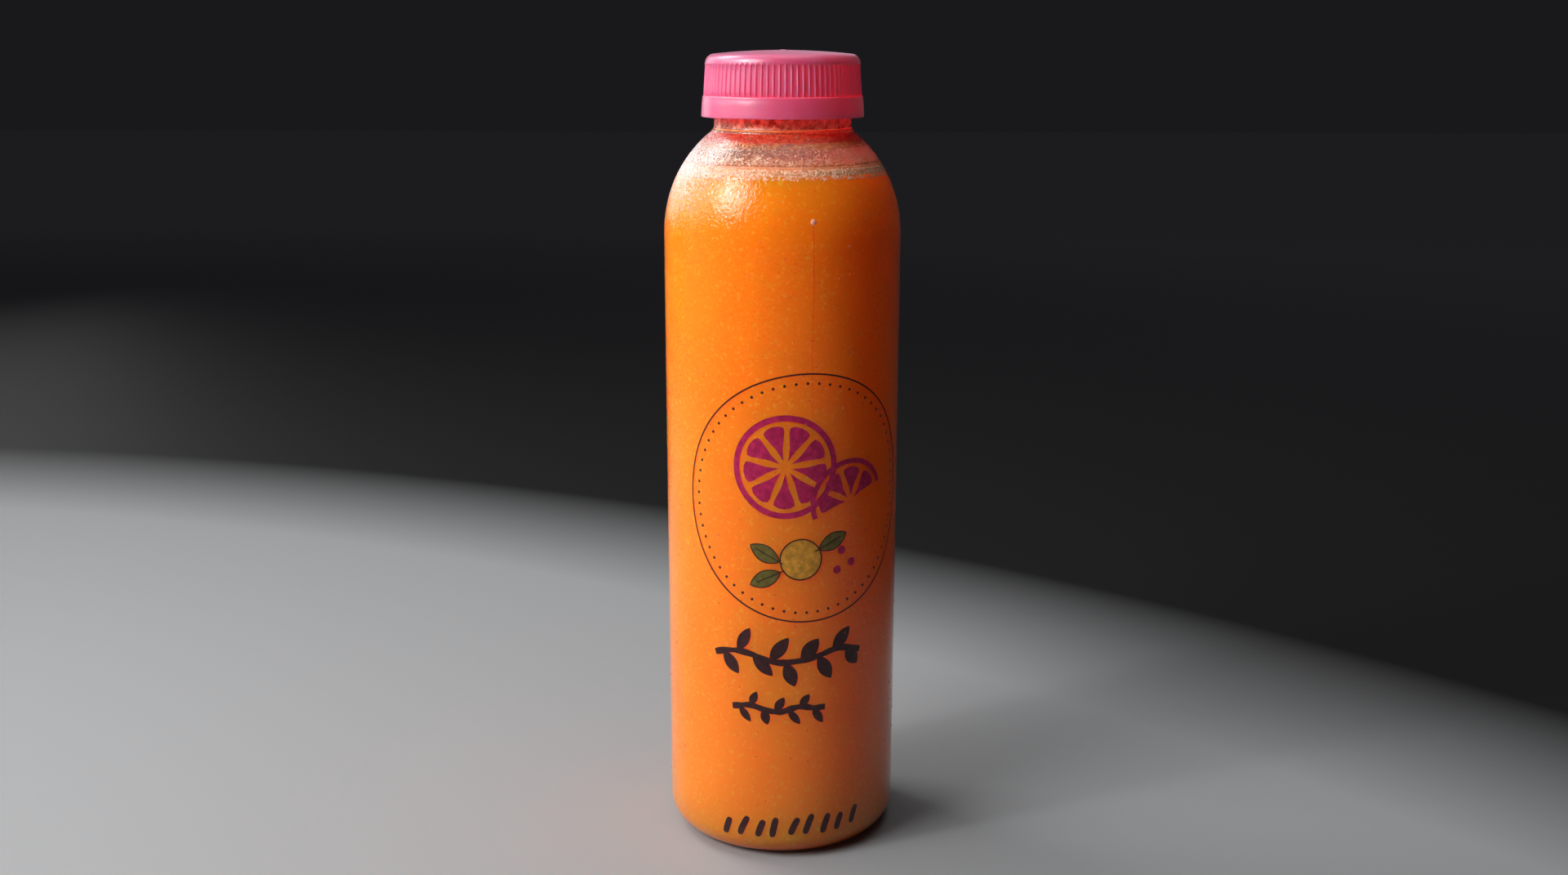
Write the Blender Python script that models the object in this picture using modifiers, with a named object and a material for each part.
"""A clear juice bottle with a ribbed screw cap, filled with orange juice that has froth on top.

Units are metres and +Z is up. The origin is the middle of the base, on the plane that the bottle stands on.
"""

import math

import bmesh
import bpy
from mathutils import Matrix, Vector

MM = 0.001

# The bottle: a thin blown shell with a straight body, an elliptical shoulder and a threaded neck
BODY_RADIUS = 30.5 * MM
WALL = 0.6 * MM
SHOULDER_START = 161.3 * MM
SHOULDER_RISE = 32.3 * MM
NECK_RADIUS = 17.5 * MM
NECK_WALL = 1.2 * MM
NECK_FILLET = 0.8 * MM
MOUTH_HEIGHT = 205.3 * MM
HEEL_WIDTH = 7.6 * MM
HEEL_RISE = 7.1 * MM
FOOT_WIDTH = 1.6 * MM
PUSH_UP = 3.4 * MM

# The bead under which the cap's tamper band snaps
BEAD_RADIUS = 18.8 * MM
BEAD_LOW = 192.6 * MM
BEAD_HIGH = 193.8 * MM

# The thread on the neck and the one inside the cap run half a pitch apart
THREAD_PITCH = 4.6 * MM
THREAD_TURNS = 1.25
THREAD_ROOT_WIDTH = 1.7 * MM
THREAD_CREST_WIDTH = 0.7 * MM
THREAD_START = 197.0 * MM
THREAD_SINK = 0.4 * MM
NECK_THREAD_RADIUS = 18.2 * MM
CAP_THREAD_RADIUS = 17.85 * MM

# The cap: a domed crown over a drum with upright grip ribs
CAP_TOP = 207.4 * MM
CROWN_RISE = 0.9 * MM
CROWN_FILLET = 2.45 * MM
CROWN_RADIUS = 19.65 * MM
RIB_TOP = 204.05 * MM
CAP_FOOT = 196.2 * MM
RIB_COUNT = 84
RIB_HEIGHT = 0.36 * MM
RIB_ROOT_WIDTH = 0.85 * MM
RIB_CREST_WIDTH = 0.4 * MM
DRAFT = 0.5 * MM
CAP_BORE = 18.6 * MM
CAP_CEILING = 205.6 * MM

# The tamper band below the cap, with the hook that holds it under the bottle's bead
BAND_TOP = 195.9 * MM
BAND_TOP_RADIUS = 20.35 * MM
BAND_FOOT = 190.9 * MM
BAND_RADIUS = 20.72 * MM
BAND_BORE = 19.3 * MM
HOOK_RADIUS = 18.15 * MM
HOOK_HEIGHT = 1.2 * MM

# The contents
JUICE_LEVEL = 177.4 * MM
FROTH_HEIGHT = 2.3 * MM
FROTH_RIM = 0.5 * MM
GAP = 0.3 * MM

# Facets around the axis
BOTTLE_STEPS = 48
CAP_STEPS = RIB_COUNT
THREAD_STEPS_PER_TURN = 24

# Colours are linear red, green and blue, with alpha
CLEAR_PLASTIC = (0.93, 0.93, 0.92, 0.3)
PINK_PLASTIC = (0.83, 0.09, 0.24, 1.0)
ORANGE_JUICE = (0.85, 0.23, 0.015, 1.0)
PALE_FROTH = (0.85, 0.42, 0.22, 1.0)


def clear_scene():
    for obj in list(bpy.data.objects):
        bpy.data.objects.remove(obj, do_unlink=True)


def new_collection(name):
    collection = bpy.data.collections.new(name)
    bpy.context.scene.collection.children.link(collection)
    return collection


def plain_material(name, colour, roughness, transmission=0.0):
    material = bpy.data.materials.new(name)
    material.use_nodes = True
    material.diffuse_color = colour
    shader = material.node_tree.nodes["Principled BSDF"]
    shader.inputs["Base Color"].default_value = colour
    shader.inputs["Roughness"].default_value = roughness
    shader.inputs["Metallic"].default_value = 0.0
    shader.inputs["Alpha"].default_value = colour[3]
    shader.inputs["Transmission Weight"].default_value = transmission
    return material


def ellipse_points(centre, half_width, half_height, start, end, count):
    """Points (radius, height) along an ellipse's arc, from the angle start to end, in degrees."""
    points = []
    for i in range(count):
        angle = math.radians(start + (end - start) * i / (count - 1))
        points.append(
            (
                centre[0] + half_width * math.cos(angle),
                centre[1] + half_height * math.sin(angle),
            )
        )
    return points


def turned(name, profile, steps, closed=False):
    """An object that turns the profile of (radius, height) points about Z with a Screw modifier.

    The profile runs down its outer side. An open one starts and ends on the axis.
    """
    mesh = bpy.data.meshes.new(name)
    count = len(profile)
    edges = [(i, i + 1) for i in range(count - 1)]
    if closed:
        edges.append((count - 1, 0))
    mesh.from_pydata([(r, 0.0, z) for r, z in profile], edges, [])
    obj = bpy.data.objects.new(name, mesh)
    bpy.context.scene.collection.objects.link(obj)
    screw = obj.modifiers.new("Turn", "SCREW")
    screw.axis = "Z"
    screw.angle = math.tau
    screw.steps = steps
    screw.render_steps = steps
    screw.use_merge_vertices = True
    screw.merge_threshold = 0.01 * MM
    return obj


def join_with(obj, helpers):
    """Adds a Boolean union with each helper in turn."""
    for helper in helpers:
        helper.hide_render = True
        helper.display_type = "WIRE"
        union = obj.modifiers.new("Join " + helper.name, "BOOLEAN")
        union.operation = "UNION"
        union.object = helper


def apply_modifiers(obj):
    """Gives the object its evaluated mesh, shaded smooth up to 30 degrees."""
    bpy.context.view_layer.update()
    evaluated = obj.evaluated_get(bpy.context.evaluated_depsgraph_get())
    mesh = bpy.data.meshes.new_from_object(evaluated)
    mesh.name = obj.name
    obj.modifiers.clear()
    obj.data = mesh
    mesh.shade_smooth()
    mesh.set_sharp_from_angle(angle=math.radians(30))


def finish_part(obj, material, parts, helpers=()):
    apply_modifiers(obj)
    for helper in helpers:
        bpy.data.objects.remove(helper, do_unlink=True)
    obj.data.materials.clear()
    obj.data.materials.append(material)
    for collection in list(obj.users_collection):
        collection.objects.unlink(obj)
    parts.objects.link(obj)
    return obj


def object_from_bmesh(name, bm):
    bmesh.ops.recalc_face_normals(bm, faces=bm.faces)
    mesh = bpy.data.meshes.new(name)
    bm.to_mesh(mesh)
    bm.free()
    obj = bpy.data.objects.new(name, mesh)
    bpy.context.scene.collection.objects.link(obj)
    return obj


def thread(name, root_radius, crest_radius, start_height, turn_from):
    """A right-hand helical ridge: a trapezoid spun up the axis, sunk a little into the wall that carries it."""
    sink = THREAD_SINK if crest_radius > root_radius else -THREAD_SINK
    foot = root_radius - sink
    half_root = THREAD_ROOT_WIDTH / 2
    half_crest = THREAD_CREST_WIDTH / 2
    section = [
        (foot, -half_root),
        (crest_radius, -half_crest),
        (crest_radius, half_crest),
        (foot, half_root),
    ]
    steps = round(THREAD_STEPS_PER_TURN * THREAD_TURNS)
    bm = bmesh.new()
    corners = [bm.verts.new((r, 0.0, start_height + z)) for r, z in section]
    face = bm.faces.new(corners)
    bmesh.ops.rotate(
        bm, verts=bm.verts, cent=(0, 0, 0), matrix=Matrix.Rotation(turn_from, 3, "Z")
    )
    bmesh.ops.spin(
        bm,
        geom=[face, *face.edges, *face.verts],
        cent=(0, 0, 0),
        axis=(0, 0, 1),
        dvec=(0, 0, THREAD_PITCH * THREAD_TURNS / steps),
        angle=math.tau * THREAD_TURNS,
        steps=steps,
        use_duplicate=False,
    )
    return object_from_bmesh(name, bm)


def ring_of_blocks(name, count, low_ring, high_ring, first_angle):
    """Equal tapered blocks around the axis.

    A ring is (height, inner radius, inner width, outer radius, outer width), for the blocks' lower or upper end.
    """
    bm = bmesh.new()
    for i in range(count):
        block = bmesh.ops.create_cube(bm, size=1.0)["verts"]
        for vertex in block:
            height, inner, inner_width, outer, outer_width = (
                high_ring if vertex.co.z > 0 else low_ring
            )
            is_outer = vertex.co.x > 0
            width = outer_width if is_outer else inner_width
            side = math.copysign(0.5, vertex.co.y)
            vertex.co = Vector((outer if is_outer else inner, side * width, height))
        turn = Matrix.Rotation(first_angle + math.tau * i / count, 3, "Z")
        bmesh.ops.rotate(bm, verts=block, cent=(0, 0, 0), matrix=turn)
    return object_from_bmesh(name, bm)


def wall_profile(inset):
    """The wall's line from the middle of the base up to the neck, this far inside the outer face."""
    heel_centre = (BODY_RADIUS - HEEL_WIDTH, HEEL_RISE)
    heel = ellipse_points(
        heel_centre, HEEL_WIDTH - inset, HEEL_RISE - inset, -90, 0, 6
    )
    foot_inner = heel_centre[0] - FOOT_WIDTH
    dome = [
        (foot_inner * share, inset + PUSH_UP * (1 - share**2))
        for share in (0.0, 0.35, 0.7, 1.0)
    ]
    neck_radius = NECK_RADIUS - (NECK_WALL if inset else 0.0)
    half_width = BODY_RADIUS - inset
    end_angle = math.degrees(math.acos(neck_radius / half_width))
    shoulder = ellipse_points(
        (0.0, SHOULDER_START), half_width, SHOULDER_RISE - inset, 0, end_angle, 11
    )
    return dome + heel + shoulder


def bottle_profile():
    """The whole section of the bottle: up the inside, over the lip and down the outside."""
    inner = wall_profile(WALL)
    outer = wall_profile(0.0)
    corner_height = outer[-1][1]
    lip = 0.3 * MM
    bore = NECK_RADIUS - NECK_WALL
    inside = inner + [(bore, MOUTH_HEIGHT - lip), (bore + lip, MOUTH_HEIGHT)]
    neck = [
        (NECK_RADIUS - lip, MOUTH_HEIGHT),
        (NECK_RADIUS, MOUTH_HEIGHT - lip),
        (NECK_RADIUS, BEAD_HIGH + (BEAD_RADIUS - NECK_RADIUS)),
        (BEAD_RADIUS, BEAD_HIGH),
        (BEAD_RADIUS, BEAD_LOW),
        (NECK_RADIUS, BEAD_LOW),
        (NECK_RADIUS, corner_height + NECK_FILLET),
        (NECK_RADIUS + 0.2 * NECK_FILLET, corner_height + 0.2 * NECK_FILLET),
    ]
    shoulder_end = (
        outer[-1][0] + 0.7 * NECK_FILLET,
        corner_height - 0.45 * NECK_FILLET,
    )
    return inside + neck + [shoulder_end] + outer[-2::-1]


def make_bottle(material, parts):
    bottle = turned("bottle", bottle_profile(), BOTTLE_STEPS)
    ridge = thread("neck_thread", NECK_RADIUS, NECK_THREAD_RADIUS, THREAD_START, 0.0)
    join_with(bottle, [ridge])
    return finish_part(bottle, material, parts, [ridge])


def crown_height(radius, rim):
    return CAP_TOP - CROWN_RISE * (radius / rim) ** 2


def cap_profile():
    """The section of the cap's crown and drum, without the ribs."""
    rim = CROWN_RADIUS - CROWN_FILLET
    fillet_low = CAP_TOP - CROWN_RISE - CROWN_FILLET
    dome = [(rim * share, crown_height(rim * share, rim)) for share in (0.0, 0.4, 0.75)]
    fillet = ellipse_points((rim, fillet_low), CROWN_FILLET, CROWN_FILLET, 90, 0, 6)
    drum_top = CROWN_RADIUS - RIB_HEIGHT
    outside = [(drum_top, RIB_TOP - 0.05 * MM), (drum_top + DRAFT, CAP_FOOT)]
    inside = [(CAP_BORE, CAP_FOOT), (CAP_BORE, CAP_CEILING), (0.0, CAP_CEILING)]
    return dome + fillet + outside + inside


def band_profile():
    """The section of the tamper band: a flaring ring with the hook inside its foot."""
    return [
        (BAND_TOP_RADIUS, BAND_TOP),
        (BAND_RADIUS, BAND_FOOT),
        (HOOK_RADIUS + 0.3 * MM, BAND_FOOT),
        (HOOK_RADIUS, BAND_FOOT + HOOK_HEIGHT),
        (HOOK_RADIUS + 0.35 * MM, BAND_FOOT + HOOK_HEIGHT),
        (BAND_BORE, BAND_FOOT + 0.7 * MM),
        (BAND_BORE, BAND_TOP),
    ]


def make_grip_ribs():
    """The ribs reach a little into the drum, and up into the fillet of the crown."""
    sunk = 0.25 * MM
    crest_top = CROWN_RADIUS - 0.05 * MM
    crest_foot = crest_top + DRAFT
    low = (
        CAP_FOOT + 0.05 * MM,
        crest_foot - RIB_HEIGHT - sunk,
        RIB_ROOT_WIDTH,
        crest_foot,
        RIB_CREST_WIDTH,
    )
    high = (
        RIB_TOP + 0.3 * MM,
        crest_top - RIB_HEIGHT - sunk,
        RIB_ROOT_WIDTH,
        crest_top,
        RIB_CREST_WIDTH,
    )
    return ring_of_blocks("grip_ribs", RIB_COUNT, low, high, math.pi / RIB_COUNT)


def make_cap(material, parts):
    cap = turned("cap", cap_profile(), CAP_STEPS)
    start = THREAD_START + THREAD_PITCH / 2
    ridge = thread("cap_thread", CAP_BORE, CAP_THREAD_RADIUS, start, 0.0)
    helpers = [make_grip_ribs(), ridge]
    join_with(cap, helpers)
    return finish_part(cap, material, parts, helpers)


def make_tamper_band(material, parts):
    band = turned("tamper_band", band_profile(), BOTTLE_STEPS, closed=True)
    return finish_part(band, material, parts)


def content_radius(height):
    """How far the contents reach at a height in the shoulder, clear of the wall."""
    half_width = BODY_RADIUS - WALL - GAP
    share = (height - SHOULDER_START) / (SHOULDER_RISE - WALL - GAP)
    return half_width * math.sqrt(1 - max(share, 0.0) ** 2)


def make_juice(material, parts):
    level = JUICE_LEVEL
    wetted = [p for p in wall_profile(WALL + GAP) if p[1] < level - GAP]
    surface = [(0.0, level), (content_radius(level), level)]
    juice = turned("juice", surface + wetted[::-1], BOTTLE_STEPS)
    return finish_part(juice, material, parts)


def make_froth(material, parts):
    """The froth lies on the juice and climbs a little at the wall."""
    low = JUICE_LEVEL + GAP
    high = JUICE_LEVEL + FROTH_HEIGHT
    rim = content_radius(high)
    profile = [
        (0.0, high - FROTH_RIM),
        (0.55 * rim, high - FROTH_RIM),
        (0.85 * rim, high - 0.6 * FROTH_RIM),
        (rim, high),
        (content_radius(low), low),
        (0.0, low),
    ]
    froth = turned("froth", profile, BOTTLE_STEPS)
    return finish_part(froth, material, parts)


def main():
    clear_scene()
    parts = new_collection("juice_bottle")
    make_bottle(plain_material("clear_plastic", CLEAR_PLASTIC, 0.08, 0.9), parts)
    pink = plain_material("pink_plastic", PINK_PLASTIC, 0.38)
    make_cap(pink, parts)
    make_tamper_band(pink, parts)
    make_juice(plain_material("orange_juice", ORANGE_JUICE, 0.3), parts)
    make_froth(plain_material("pale_froth", PALE_FROTH, 0.6), parts)


main()
